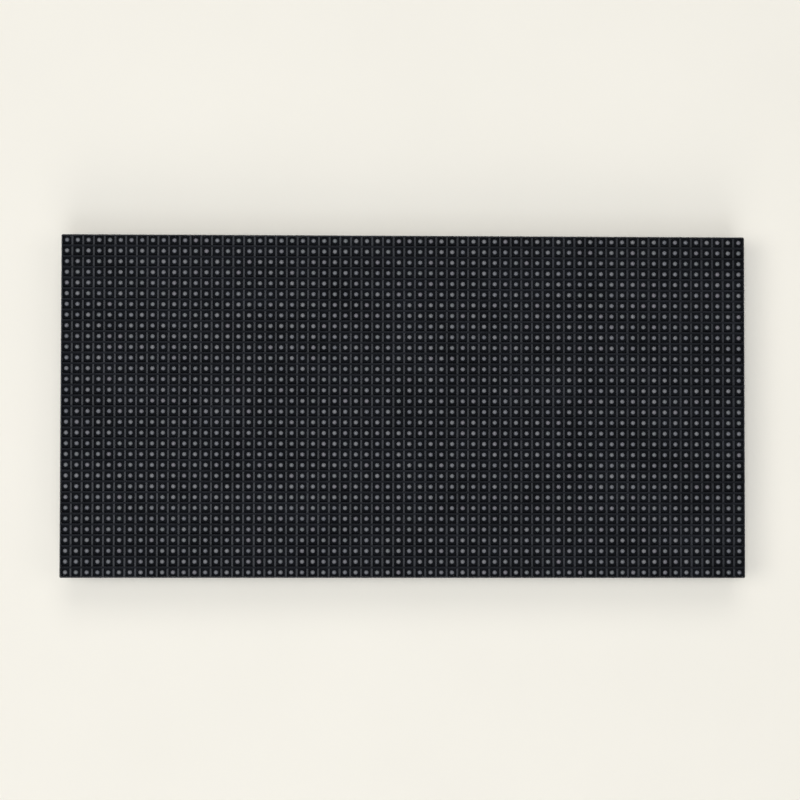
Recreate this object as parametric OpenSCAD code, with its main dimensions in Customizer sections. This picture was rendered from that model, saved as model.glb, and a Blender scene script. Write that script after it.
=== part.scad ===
// LED display panel: a full-colour lamp matrix module that lies face up on its rear frame.
// X runs along the long side, Y points up the picture and Z points out of the display face.
// The origin is under the middle of the panel, on the plane of the frame's rear rim.

/* [Display] */
// Distance from one lamp to the next
pitch = 3; // [2.9:0.05:3.1]
// Side of a lamp's square housing
led_size = 2.1; // [1.9:0.05:2.1]
// Height of a lamp above the board
led_h = 1.7; // [1.4:0.1:1.8]

/* [Mask] */
// Width of an upright bar between two columns of lamps
bar_w = 0.66; // [0.5:0.02:0.68]
// Height of the upright bars above the board
bar_h = 1.6; // [1.3:0.1:1.7]
// Width of a louvre between two rows of lamps
louvre_w = 0.36; // [0.28:0.02:0.5]
// Height of the louvres above the upright bars
louvre_h = 0.6; // [0.4:0.1:0.8]

/* [Board] */
// Thickness of the circuit board
board_t = 1.6; // [1.2:0.1:2]

/* [Rear frame] */
// Depth from the rear rim to the board
frame_d = 10.7; // [10.5:0.1:12]
// Thickness of the wall around the frame
wall_t = 2; // [1.6:0.1:2.4]
// Thickness of the flat rear web
web_t = 2; // [1.6:0.1:2.4]
// Width of the rear web along the wall
web_w = 9; // [8.6:0.1:10]
// Width of the two crossbars
crossbar_w = 12; // [10:0.5:13]
// Thickness of the ribs that stiffen the crossbars
rib_t = 1.6; // [1.2:0.1:2]
// Distance of the outer mounting threads from the ends of the panel
mount_edge_x = 16; // [14:0.5:20]
// Distance of the mounting threads from the long sides of the panel
mount_edge_y = 8; // [7:0.5:10]

/* [Circuit] */
// Distance of the two rows of column drivers from the middle
driver_y = 22; // [20:0.5:24]
// Distance of the data headers from the ends of the panel
header_edge = 20; // [18:0.5:24]

/* [Hidden] */
$fn = 48;

// Overlap of cut-outs and joined shapes
eps = 0.05;

// Lamps along the long side and along the short side
cols = 64;
rows = 32;

// The panel ends half a pitch outside the outermost lamps
panel_w = cols * pitch;
panel_h = rows * pitch;

// Heights in the stack, from the rear rim to the louvres
board_rear = frame_d;
board_front = board_rear + board_t;
bar_top = board_front + bar_h;
panel_front = bar_top + louvre_h;

// Each louvre ends in a narrow ridge with a slope on both sides
ridge_w = 0.08;
ridge_h = (louvre_w - ridge_w) / 2;

// The skirt of the mask covers the edge of the board
skirt_t = bar_w / 2;
board_gap = 0.07;
board_w = panel_w - 2 * (skirt_t + board_gap);
board_h = panel_h - 2 * (skirt_t + board_gap);

// Pegs of the mask stand in the square gap between four lamps and reach through the board
peg_gap = 0.085;
peg_d = (pitch - led_size) * sqrt(2) - 2 * peg_gap;
peg_hole_gap = 0.05;
peg_out = 0.6;
peg_in = 0.6;
lamps_per_peg = 8;

// Outline and windows of the rear frame
frame_inset = 0.7;
frame_w = panel_w - 2 * frame_inset;
frame_h = panel_h - 2 * frame_inset;
frame_r = 3;
window_r = 3;

// The ribs stay clear of the chips on the board
rib_clear = 3.2;
rib_h = board_rear - rib_clear;

// Threaded brass inserts for mounting
insert_d = 4.2;
insert_l = 5;
insert_bore = 3;
insert_groove = 0.3;
insert_boss_d = 7.6;
insert_floor = 0.5;
mount_x = panel_w / 2 - mount_edge_x;
mount_y = panel_h / 2 - mount_edge_y;

// Soldered nuts on the board, and the screws that hold the frame to them
nut_d = 4.2;
nut_h = 3;
screw_d = 2;
screw_hole_gap = 0.15;
screw_head_d = 3.8;
screw_head_h = 1.5;
screw_well_gap = 0.35;
screw_boss_d = 7;
screw_flange = 2.2;
screw_seat = board_rear - nut_h - screw_flange;
screw_tip_gap = 0.4;
recess_w = 0.5;
recess_l = 2.2;
recess_d = 0.8;

// Column drivers, one for every 16 colour lines of each half
lines_per_driver = 16;
drivers_per_half = ceil(cols * 3 / lines_per_driver);
driver_margin = 6;
driver_step = (panel_w - 2 * driver_margin) / drivers_per_half;
driver_body = [8.65, 3.9, 1.6];

// Each crossbar runs between two drivers, and the windows are what the web leaves open
drivers_inside = 2;
crossbar_x = drivers_inside * driver_step;
window_h = frame_h - 2 * web_w;
side_window_w = frame_w / 2 - web_w - crossbar_x - crossbar_w / 2;
side_window_x = crossbar_x + crossbar_w / 2 + side_window_w / 2;
middle_window_w = 2 * crossbar_x - crossbar_w;

// The screws stand in line with the drivers, on the crossbars and beside the end walls
screw_wall_gap = 1.8;
side_screw_x = frame_w / 2 - screw_wall_gap - screw_boss_d / 2;

// Other integrated circuits, with their long sides along Y except the row switches
header_x = panel_w / 2 - header_edge;
buffer_in = 14;
buffer_body = [4.4, 6.5, 1.15];
buffer_at = [header_x - buffer_in, 6];
decoder_in = 28;
decoder_body = [3.9, 9.9, 1.6];
decoder_at = [header_x - decoder_in, 7];
switch_in = 12;
switch_body = [4.9, 3.9, 1.6];
switch_at = [header_x - switch_in, 6];
switch_step = 8;
switches_per_row = 4;
dimple_d = 0.7;
dimple_depth = 0.12;
dimple_in = 0.9;
ic_draft = 0.12;

// A chip capacitor and a chip resistor on the inner side of each driver
chip_cap = [1.6, 0.8, 0.8];
chip_res = [1.6, 0.8, 0.45];
chip_at = [1.8, 5.5];

// Data headers with two rows of pins
header_pins = 8;
pin_step = 2.54;
header_size = [8.9, 27.94, 8.6];
header_wall = 1.25;
header_depth = 6.4;
key_w = 4.5;
key_depth = 5;
pin_w = 0.64;
pin_tall = 5.8;
foot_t = 0.3;
foot_out = 1.3;

// Power header, a base with a tall latching wall
power_pins_n = 4;
power_step = 3.96;
power_size = [15.8, 8.5, 3.2];
power_wall_t = 1.3;
power_wall_h = 9.2;
power_pin_w = 1.14;
power_pin_tall = 5.4;
power_foot_t = 0.5;
power_latch = [6, 0.8, 1.2];

// Bulk capacitors, aluminium cans on square plastic bases
can_d = 6.3;
can_h = 5.4;
can_base = [6.6, 0.9];
can_bead = 0.25;
can_bead_at = 0.9;
can_edge = 0.4;
can_gap = 5.8;
can_at = [power_size.x / 2 + can_gap + can_base[0] / 2, 5];

// Names of the pieces that repeat, numbered from 01
function tag(base, i) = str(base, "_", i < 9 ? "0" : "", i + 1);
function tags(base, n) = [for (i = [0:n - 1]) tag(base, i)];

// Lamp centre, counted from the left or from the bottom
function lamp(i, n) = (i - (n - 1) / 2) * pitch;

// Driver centre: the first half of the numbers lie above the middle, the rest below
function driver_at(k) = [
  (k % drivers_per_half - (drivers_per_half - 1) / 2) * driver_step,
  k < drivers_per_half ? driver_y : -driver_y
];

driver_places = [for (k = [0:2 * drivers_per_half - 1]) driver_at(k)];
buffer_places = [for (s = [1, -1]) [buffer_at.x, s * buffer_at.y]];
decoder_places = [for (s = [1, -1]) [decoder_at.x, s * decoder_at.y]];
switch_places = [
  for (s = [1, -1], i = [0:switches_per_row - 1]) [i * switch_step - switch_at.x, s * switch_at.y]
];
can_places = [for (s = [1, -1]) [s * can_at.x, can_at.y]];
insert_places = [for (i = [-1:1], s = [1, -1]) [i * mount_x, s * mount_y]];
screw_places = [for (x = [crossbar_x, side_screw_x], i = [1, -1], s = [1, -1]) [i * x, s * driver_y]];
peg_places = [
  for (i = [lamps_per_peg / 2:lamps_per_peg:cols - 1], j = [lamps_per_peg / 2:lamps_per_peg:rows - 1])
    [i * pitch - panel_w / 2, j * pitch - panel_h / 2]
];

// Flat rounded rectangle, centred
module round_rect(w, h, r) {
  square([w - 2 * r, h], center = true);
  square([w, h - 2 * r], center = true);
  for (x = [-1, 1], y = [-1, 1])
    translate([x * (w / 2 - r), y * (h / 2 - r)])
      circle(r);
}

// Block that hangs from the rear face of the board, lifted off it by a stand-off
module hung_block(size, lift = 0) {
  translate([-size.x / 2, -size.y / 2, board_rear - lift - size.z])
    cube(size);
}

// Side view of a louvre
module louvre_profile()
  polygon([
    [-louvre_w / 2, 0], [louvre_w / 2, 0], [louvre_w / 2, louvre_h - ridge_h],
    [ridge_w / 2, louvre_h], [-ridge_w / 2, louvre_h], [-louvre_w / 2, louvre_h - ridge_h]
  ]);

// One moulding: skirt, upright bars, louvres across their tops, and pegs
module front_mask() color([0.09, 0.09, 0.1]) {
  translate([0, 0, board_rear])
    linear_extrude(panel_front - board_rear)
      difference() {
        square([panel_w, panel_h], center = true);
        square([panel_w - 2 * skirt_t, panel_h - 2 * skirt_t], center = true);
      }
  for (i = [1:cols - 1])
    translate([i * pitch - panel_w / 2 - bar_w / 2, -panel_h / 2 + skirt_t / 2, board_front])
      cube([bar_w, panel_h - skirt_t, bar_h]);
  for (j = [1:rows - 1])
    translate([-panel_w / 2 + skirt_t / 2, j * pitch - panel_h / 2, bar_top])
      rotate([90, 0, 90])
        linear_extrude(panel_w - skirt_t)
          louvre_profile();
  for (p = peg_places)
    translate([p.x, p.y, board_rear - peg_out])
      cylinder(d = peg_d, h = peg_out + board_t + peg_in);
}

// Lamps of one scan half, from one row to another
module leds(first, last) color([0.16, 0.16, 0.17]) {
  for (i = [0:cols - 1], j = [first:last])
    translate([lamp(i, cols) - led_size / 2, lamp(j, rows) - led_size / 2, board_front])
      cube([led_size, led_size, led_h]);
}

module leds_upper_half() leds(rows / 2, rows - 1);

module leds_lower_half() leds(0, rows / 2 - 1);

// Board with a hole for each peg
module led_board() color([0.05, 0.25, 0.14])
  difference() {
    translate([-board_w / 2, -board_h / 2, board_rear])
      cube([board_w, board_h, board_t]);
    for (p = peg_places)
      translate([p.x, p.y, board_rear - eps])
        cylinder(d = peg_d + 2 * peg_hole_gap, h = board_t + 2 * eps);
  }

// Three windows in the rear web, for the headers and for air
module windows() {
  round_rect(middle_window_w, window_h, window_r);
  for (s = [-1, 1])
    translate([s * side_window_x, 0])
      round_rect(side_window_w, window_h, window_r);
}

// Frame moulding: wall, windowed web, ribbed crossbars and bosses
module rear_frame() color([0.1, 0.1, 0.11])
  difference() {
    union() {
      linear_extrude(frame_d)
        difference() {
          round_rect(frame_w, frame_h, frame_r);
          round_rect(frame_w - 2 * wall_t, frame_h - 2 * wall_t, frame_r - wall_t / 2);
        }
      linear_extrude(web_t)
        difference() {
          round_rect(frame_w, frame_h, frame_r);
          windows();
        }
      for (s = [-1, 1], edge = [-1, 1])
        translate([s * crossbar_x + edge * (crossbar_w - rib_t) / 2, 0, rib_h / 2])
          cube([rib_t, frame_h - wall_t, rib_h], center = true);
      for (p = insert_places) {
        translate([p.x, p.y, 0])
          cylinder(d = insert_boss_d, h = frame_d);
        translate([p.x - rib_t / 2, p.y > 0 ? p.y : -frame_h / 2 + wall_t / 2, 0])
          cube([rib_t, frame_h / 2 - wall_t / 2 - abs(p.y), frame_d]);
      }
      for (p = screw_places)
        translate([p.x, p.y, 0])
          cylinder(d = screw_boss_d, h = board_rear - nut_h);
    }
    for (p = insert_places)
      translate([p.x, p.y, -eps])
        cylinder(d = insert_d, h = insert_l + insert_floor + eps);
    for (p = screw_places)
      translate([p.x, p.y, -eps]) {
        cylinder(d = screw_d + 2 * screw_hole_gap, h = board_rear);
        cylinder(d = screw_head_d + 2 * screw_well_gap, h = screw_seat + eps);
      }
  }

// Grooved inserts, flush with the rear rim
module mount_inserts() color([0.78, 0.6, 0.28])
  for (p = insert_places)
    translate([p.x, p.y, 0])
      difference() {
        cylinder(d = insert_d, h = insert_l);
        translate([0, 0, -eps])
          cylinder(d = insert_bore, h = insert_l + 2 * eps);
        translate([0, 0, insert_l * 2 / 5])
          difference() {
            cylinder(d = insert_d + 2 * eps, h = insert_l / 5);
            translate([0, 0, -eps])
              cylinder(d = insert_d - 2 * insert_groove, h = insert_l / 5 + 2 * eps);
          }
      }

// Nuts soldered to the rear face of the board
module board_nuts() color([0.8, 0.64, 0.32])
  for (p = screw_places)
    translate([p.x, p.y, board_rear - nut_h])
      difference() {
        cylinder(d = nut_d, h = nut_h);
        translate([0, 0, -eps])
          cylinder(d = screw_d, h = nut_h + 2 * eps);
      }

// Pan-head screws with a cross recess, sunk in the wells of the frame
module frame_screws() color([0.62, 0.63, 0.65])
  for (p = screw_places)
    translate([p.x, p.y, screw_seat - screw_head_h])
      difference() {
        union() {
          cylinder(d = screw_head_d, h = screw_head_h);
          cylinder(d = screw_d, h = screw_head_h + board_rear - screw_tip_gap - screw_seat);
        }
        for (turn = [0, 90])
          rotate(turn)
            translate([-recess_l / 2, -recess_w / 2, -eps])
              cube([recess_l, recess_w, recess_d + eps]);
      }

// Side view of a moulded body, widest where its two halves meet
module ic_profile(w, h)
  polygon([
    [-w / 2, 0], [ic_draft - w / 2, h / 2], [w / 2 - ic_draft, h / 2],
    [w / 2, 0], [w / 2 - ic_draft, -h / 2], [ic_draft - w / 2, -h / 2]
  ]);

// Body of an integrated circuit, with the dimple that marks its first lead
module ic_body(body)
  difference() {
    translate([0, 0, board_rear - body.z / 2])
      intersection() {
        rotate([90, 0, 0])
          linear_extrude(body.y, center = true)
            ic_profile(body.x, body.z);
        rotate([90, 0, 90])
          linear_extrude(body.x, center = true)
            ic_profile(body.y, body.z);
      }
    translate([dimple_in - body.x / 2, dimple_in - body.y / 2, board_rear - body.z - eps])
      cylinder(d = dimple_d, h = dimple_depth + eps);
  }

module ic(place, body) color([0.12, 0.12, 0.13])
  translate([place.x, place.y, 0])
    ic_body(body);

// Small parts beside the drivers, left or right of their middle
module chips(size, side)
  for (p = driver_places)
    translate([p.x + side * chip_at.x, p.y - sign(p.y) * chip_at.y, 0])
      hung_block(size);

module chip_capacitors() color([0.66, 0.54, 0.4]) chips(chip_cap, -1);

module chip_resistors() color([0.14, 0.14, 0.15]) chips(chip_res, 1);

// Pin places of a data header, as seen from the middle of the header
header_pin_places = [
  for (c = [-1, 1], r = [0:header_pins - 1])
    [c * pin_step / 2, (r - (header_pins - 1) / 2) * pin_step]
];

// Shroud of a data header, open to the rear, with a key slot in one long side
module header(x, key_side) color([0.11, 0.11, 0.12])
  translate([x, 0, 0])
    difference() {
      hung_block(header_size, foot_t);
      translate([0, 0, board_rear - foot_t - header_size.z])
        linear_extrude(2 * header_depth, center = true)
          square([header_size.x - 2 * header_wall, header_size.y - 2 * header_wall], center = true);
      translate([key_side * header_size.x / 2, 0, board_rear - foot_t - header_size.z])
        cube([3 * header_wall, key_w, 2 * key_depth], center = true);
      for (p = header_pin_places)
        translate([p.x - pin_w / 2, p.y - pin_w / 2, 0])
          cube([pin_w, pin_w, board_rear]);
    }

// Pins of a data header, each with a foot soldered to the board
module pins(x) color([0.85, 0.7, 0.35])
  translate([x, 0, 0])
    for (p = header_pin_places) {
      foot_l = header_size.x / 2 + foot_out - abs(p.x) + pin_w / 2;
      pin_l = foot_t + header_size.z - header_depth + pin_tall;
      translate([p.x, p.y, 0])
        hung_block([pin_w, pin_w, pin_l]);
      translate([p.x > 0 ? p.x - pin_w / 2 : p.x + pin_w / 2 - foot_l, p.y - pin_w / 2, board_rear - foot_t])
        cube([foot_l, pin_w, foot_t]);
    }

module input_header() header(header_x, -1);

module input_pins() pins(header_x);

module output_header() header(-header_x, -1);

module output_pins() pins(-header_x);

power_pin_x = [for (i = [0:power_pins_n - 1]) (i - (power_pins_n - 1) / 2) * power_step];

// Power header: base, latching wall and its catch
module power_header() color([0.9, 0.89, 0.84])
  difference() {
    union() {
      hung_block(power_size, power_foot_t);
      translate([0, (power_size.y - power_wall_t) / 2, 0])
        hung_block([power_size.x, power_wall_t, power_wall_h], power_foot_t);
      translate([
        -power_latch.x / 2,
        power_size.y / 2 - power_wall_t - power_latch.y,
        board_rear - power_foot_t - power_wall_h
      ])
        cube([power_latch.x, power_latch.y + eps, power_latch.z]);
    }
    for (x = power_pin_x)
      translate([x - power_pin_w / 2, -power_pin_w / 2, 0])
        cube([power_pin_w, power_pin_w, board_rear]);
  }

// Power pins, with feet that leave the base on alternate sides
module power_pins() color([0.75, 0.76, 0.77])
  for (i = [0:power_pins_n - 1]) {
    side = i % 2 == 0 ? 1 : -1;
    foot_l = power_size.y / 2 + foot_out + power_pin_w / 2;
    translate([power_pin_x[i], 0, 0])
      hung_block([power_pin_w, power_pin_w, power_foot_t + power_size.z + power_pin_tall]);
    translate([
      power_pin_x[i] - power_pin_w / 2,
      side > 0 ? -power_pin_w / 2 : power_pin_w / 2 - foot_l,
      board_rear - power_foot_t
    ])
      cube([power_pin_w, foot_l, power_foot_t]);
  }

// Half section of a can, from its closed end to the bead above its base
module can_profile()
  polygon([
    [0, 0], [can_d / 2 - can_edge, 0], [can_d / 2, can_edge],
    [can_d / 2, can_h - can_bead_at - can_bead], [can_d / 2 - can_bead, can_h - can_bead_at],
    [can_d / 2, can_h - can_bead_at + can_bead], [can_d / 2, can_h + eps], [0, can_h + eps]
  ]);

// Aluminium can on its base
module bulk_capacitor(place) color([0.76, 0.77, 0.79])
  translate([place.x, place.y, 0]) {
    hung_block([can_base[0], can_base[0], can_base[1]]);
    translate([0, 0, board_rear - can_base[1] - can_h])
      rotate_extrude()
        can_profile();
  }

front_mask();
leds_upper_half();
leds_lower_half();
led_board();
rear_frame();
input_header();
input_pins();
output_header();
output_pins();
power_header();
power_pins();
mount_inserts();
board_nuts();
frame_screws();
chip_capacitors();
chip_resistors();
for (k = [0:len(driver_places) - 1])
  ic(driver_places[k], driver_body);
for (k = [0:len(buffer_places) - 1])
  ic(buffer_places[k], buffer_body);
for (k = [0:len(decoder_places) - 1])
  ic(decoder_places[k], decoder_body);
for (k = [0:len(switch_places) - 1])
  ic(switch_places[k], switch_body);
for (k = [0:len(can_places) - 1])
  bulk_capacitor(can_places[k]);
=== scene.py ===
import math

import bmesh
import bpy
from mathutils import Matrix, Vector


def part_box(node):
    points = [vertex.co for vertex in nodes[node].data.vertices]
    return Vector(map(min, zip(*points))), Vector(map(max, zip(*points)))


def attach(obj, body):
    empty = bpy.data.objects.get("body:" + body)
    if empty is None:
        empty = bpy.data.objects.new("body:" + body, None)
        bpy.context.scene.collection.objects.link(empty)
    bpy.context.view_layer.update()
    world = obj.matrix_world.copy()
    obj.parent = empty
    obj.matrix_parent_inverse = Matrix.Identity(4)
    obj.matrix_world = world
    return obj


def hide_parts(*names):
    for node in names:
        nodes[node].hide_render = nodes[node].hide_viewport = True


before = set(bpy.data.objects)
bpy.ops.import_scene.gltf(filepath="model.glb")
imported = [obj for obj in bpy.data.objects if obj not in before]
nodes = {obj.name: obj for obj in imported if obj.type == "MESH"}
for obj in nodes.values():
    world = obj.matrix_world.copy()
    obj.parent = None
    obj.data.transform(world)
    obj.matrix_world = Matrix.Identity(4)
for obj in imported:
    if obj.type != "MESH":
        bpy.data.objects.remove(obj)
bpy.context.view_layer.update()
scene = bpy.context.scene
mm = 0.001
print("frame:", len(nodes), "CAD nodes loaded")

# heights of the stack, read from the CAD nodes; a name that ends in Z is in millimetres
maskLow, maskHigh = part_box("front_mask")
boardLow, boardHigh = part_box("led_board")
boardRear = boardLow.z
rearZ = boardRear / mm
frontZ = boardHigh.z / mm
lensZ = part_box("leds_upper_half")[1].z / mm
louvreZ = maskHigh.z / mm


# sRGB hex to the linear values that Blender works with
def hexColour(code):
    parts = [int(code[i:i + 2], 16) / 255 for i in (1, 3, 5)]
    return tuple(c / 12.92 if c <= 0.04045 else ((c + 0.055) / 1.055) ** 2.4 for c in parts) + (1.0,)


# links an input to a socket, or to the first output of a node; any other value is set on the input itself
def setInputs(tree, node, inputs):
    for name, value in inputs.items():
        if isinstance(value, bpy.types.Node):
            value = value.outputs[0]
        if isinstance(value, bpy.types.NodeSocket):
            tree.links.new(value, node.inputs[name])
        else:
            node.inputs[name].default_value = value


# adds a node with its settings and inputs
def addNode(tree, kind, inputs=None, **settings):
    node = tree.nodes.new(kind)
    for name, value in settings.items():
        setattr(node, name, value)
    setInputs(tree, node, inputs or {})
    return node


def newMaterial(name):
    material = bpy.data.materials.new(name)
    material.use_nodes = True
    tree = material.node_tree
    place = addNode(tree, "ShaderNodeTexCoord").outputs["Object"]
    return material, tree, tree.nodes["Principled BSDF"], place


# nearly all of a noise texture lies from 0.3 to 0.7, which is spread over the wanted span
def noiseTo(span):
    return {"From Min": 0.3, "From Max": 0.7, "To Min": span[0], "To Max": span[1]}


productSpan = {"From Min": 0.12, "From Max": 0.4}  # nearly all of two noises multiplied lies in here
wavePeriod = 0.314  # length of one band of a wave texture at scale 1
# edges paler where the normal turns: rubbed wear together with a painted edge highlight
edgeRubAndHighlight = {"From Min": 0.75, "From Max": 0.99, "To Min": 0.55, "To Max": 0.0}  # turned normal to rubbed tone
edgeSamples = 6


# moulded polymers: a fine eroded grain, a slow flow tone, and edges that the tool left a little round
# a colour Mix takes its two colours at 6 and 7 and gives the result at 2
def mouldedPolymer(name, look):
    material, tree, surface, place = newMaterial(name)
    grain = addNode(tree, "ShaderNodeTexNoise", {
        "Vector": place, "Scale": 1 / (look["grain"] * mm), "Detail": 3.0})
    flow = addNode(tree, "ShaderNodeTexNoise", {
        "Vector": place, "Scale": 1 / (look["flow"] * mm), "Detail": 2.0})
    mixed = addNode(tree, "ShaderNodeMath", {0: flow, 1: grain}, operation="MULTIPLY")
    spread = addNode(tree, "ShaderNodeMapRange", {"Value": mixed, **productSpan})
    tone = addNode(tree, "ShaderNodeMix", {
        0: spread, 6: hexColour(look["dark"]), 7: hexColour(look["light"])}, data_type="RGBA")
    rough = addNode(tree, "ShaderNodeMapRange", {"Value": grain, **noiseTo(look["rough"])})
    bump = addNode(tree, "ShaderNodeBump", {"Height": grain, "Distance": look["depth"] * mm})
    colour = tone.outputs[2]
    # paler edge colour where the normal turns: partly rubbed wear, partly a painted highlight along the
    # rounded edge
    if "edge" in look:  # rounded edge, rubbed paler where the normal turns
        edge = addNode(tree, "ShaderNodeBevel", {"Radius": look["edge"] * mm}, samples=edgeSamples)
        flat = addNode(tree, "ShaderNodeNewGeometry").outputs["Normal"]
        turn = addNode(tree, "ShaderNodeVectorMath", {0: edge, 1: flat}, operation="DOT_PRODUCT")
        rubAndHighlight = addNode(tree, "ShaderNodeMapRange", {"Value": turn.outputs["Value"], **edgeRubAndHighlight})
        wornAndHighlight = addNode(tree, "ShaderNodeMix", {
            0: rubAndHighlight, 6: colour, 7: hexColour(look["wornAndHighlight"])}, data_type="RGBA")
        colour = wornAndHighlight.outputs[2]
        setInputs(tree, bump, {"Normal": edge})
    setInputs(tree, surface, {
        "Base Color": colour, "Roughness": rough, "Normal": bump,
        "Specular IOR Level": look.get("gloss", 0.5)})
    return material


# plated and bare metals: cloudy tone, uneven polish and fine draw marks along one axis
def workedMetal(name, look):
    material, tree, surface, place = newMaterial(name)
    marks = addNode(tree, "ShaderNodeMapping", {"Vector": place, "Scale": look["along"]})
    haze = addNode(tree, "ShaderNodeTexNoise", {
        "Vector": place, "Scale": 1 / (look["haze"] * mm), "Detail": 3.0})
    draw = addNode(tree, "ShaderNodeTexNoise", {
        "Vector": marks, "Scale": 1 / (look["marks"] * mm), "Detail": 2.0})
    tone = addNode(tree, "ShaderNodeMix", {
        0: haze, 6: hexColour(look["dark"]), 7: hexColour(look["light"])}, data_type="RGBA")
    rough = addNode(tree, "ShaderNodeMapRange", {"Value": draw, **noiseTo(look["rough"])})
    bump = addNode(tree, "ShaderNodeBump", {"Height": draw, "Distance": look["depth"] * mm})
    setInputs(tree, surface, {
        "Base Color": tone.outputs[2], "Roughness": rough, "Normal": bump, "Metallic": 1.0})
    return material


# black polycarbonate, finely grained in the mould: nearly black, with a soft grey sheen on top of each bar
maskPolycarbonate = mouldedPolymer("maskPolycarbonate", {
    "dark": "#1b1d21", "light": "#292b31", "grain": 0.35, "flow": 9, "rough": (0.32, 0.4), "depth": 0.008,
    "gloss": 0.09})
# glass-filled polycarbonate: matt with a dusty bloom of fibres, paler grey at the edges, partly rubbed wear
# and partly a painted edge highlight
framePolycarbonate = mouldedPolymer("framePolycarbonate", {
    "dark": "#141416", "light": "#222225", "grain": 0.5, "flow": 11, "rough": (0.45, 0.62), "depth": 0.03,
    "edge": 0.3, "wornAndHighlight": "#3c3c40", "gloss": 0.3})
# PBT of the header shrouds: a little glossier than the frame
headerPolyester = mouldedPolymer("headerPolyester", {
    "dark": "#101012", "light": "#1b1b1d", "grain": 0.3, "flow": 6, "rough": (0.32, 0.46), "depth": 0.012,
    "edge": 0.18, "wornAndHighlight": "#333337", "gloss": 0.35})
# natural nylon: milky off-white with a soft satin face
powerNylon = mouldedPolymer("powerNylon", {
    "dark": "#d9d5c6", "light": "#ebe8dc", "grain": 0.4, "flow": 5, "rough": (0.38, 0.5), "depth": 0.012,
    "edge": 0.2, "wornAndHighlight": "#f1eee4"})
# moulding compound of the chips: charcoal epoxy with a fine spark-eroded face
chipEpoxy = mouldedPolymer("chipEpoxy", {
    "dark": "#19191b", "light": "#262628", "grain": 0.14, "flow": 3, "rough": (0.5, 0.66), "depth": 0.012,
    "edge": 0.08, "wornAndHighlight": "#3a3a3c", "gloss": 0.3})
# phenolic base of the cans: hard, black and slightly glossy
canPhenolic = mouldedPolymer("canPhenolic", {
    "dark": "#0f0f10", "light": "#19191a", "grain": 0.25, "flow": 3, "rough": (0.3, 0.42), "depth": 0.01})
# PPA body of a lamp, printed black so that it gives no light back: flat and dull
lampPolyamide = mouldedPolymer("lampPolyamide", {
    "dark": "#0e0f12", "light": "#16181c", "grain": 0.2, "flow": 9, "rough": (0.75, 0.9), "depth": 0.012,
    "gloss": 0.03})
# black solder lacquer on the lamp side of the board, dulled so that nothing glints between the lamps
frontLacquer = mouldedPolymer("frontLacquer", {
    "dark": "#0f1014", "light": "#17181d", "grain": 0.3, "flow": 6, "rough": (0.8, 0.95), "depth": 0.004,
    "gloss": 0.03})
# mask over copper: the board's green lacquer, paler where the track lifts it
trackMask = mouldedPolymer("trackMask", {
    "dark": "#1f7a42", "light": "#2b9150", "grain": 0.4, "flow": 6, "rough": (0.24, 0.36), "depth": 0.004,
    "gloss": 0.35})
# fired barium titanate of the chip capacitors: tan and matt
capCeramic = mouldedPolymer("capCeramic", {
    "dark": "#7d6242", "light": "#9a7c56", "grain": 0.12, "flow": 2, "rough": (0.5, 0.62), "depth": 0.006})
# white epoxy ink, screen printed: chalky, with a slightly broken film
printInk = mouldedPolymer("printInk", {
    "dark": "#c9cbc6", "light": "#eceee9", "grain": 0.2, "flow": 2, "rough": (0.6, 0.75), "depth": 0.004})
# black epoxy stamp on the end of a can: flat, with a slight shine
stampInk = mouldedPolymer("stampInk", {
    "dark": "#151517", "light": "#202023", "grain": 0.2, "flow": 2, "rough": (0.4, 0.55), "depth": 0.004})

# flash gold over nickel on drawn square wire: bright, warm, streaked along the pin
pinGold = workedMetal("pinGold", {
    "dark": "#c79a45", "light": "#e3bd6a", "haze": 1.5, "marks": 0.15, "along": (1, 1, 0.1),
    "rough": (0.18, 0.34), "depth": 0.004})
# bright tin: pale grey, soft reflections
pinTin = workedMetal("pinTin", {
    "dark": "#b9bbbd", "light": "#d4d5d6", "haze": 1.2, "marks": 0.2, "along": (1, 1, 0.2),
    "rough": (0.22, 0.4), "depth": 0.004})
# reflowed solder on the leads: silvery, rippled and a little dull
solderTin = workedMetal("solderTin", {
    "dark": "#a9abad", "light": "#cdcfd1", "haze": 0.6, "marks": 0.25, "along": (1, 1, 1),
    "rough": (0.28, 0.46), "depth": 0.006})
# turned brass: yellow with rings left by the tool
turnedBrass = workedMetal("turnedBrass", {
    "dark": "#a8843f", "light": "#cfa85b", "haze": 1.4, "marks": 0.12, "along": (0.2, 0.2, 1),
    "rough": (0.22, 0.38), "depth": 0.006})
# zinc plated steel: cool grey with a faint cloud
zincSteel = workedMetal("zincSteel", {
    "dark": "#8f9398", "light": "#b4b8bc", "haze": 1.0, "marks": 0.15, "along": (1, 1, 1),
    "rough": (0.26, 0.42), "depth": 0.005})
# drawn aluminium can: satin, with draw marks along its axis
canAluminium = workedMetal("canAluminium", {
    "dark": "#b6b9bc", "light": "#d3d5d7", "haze": 2.2, "marks": 0.18, "along": (1, 1, 0.06),
    "rough": (0.24, 0.4), "depth": 0.006})


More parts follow.
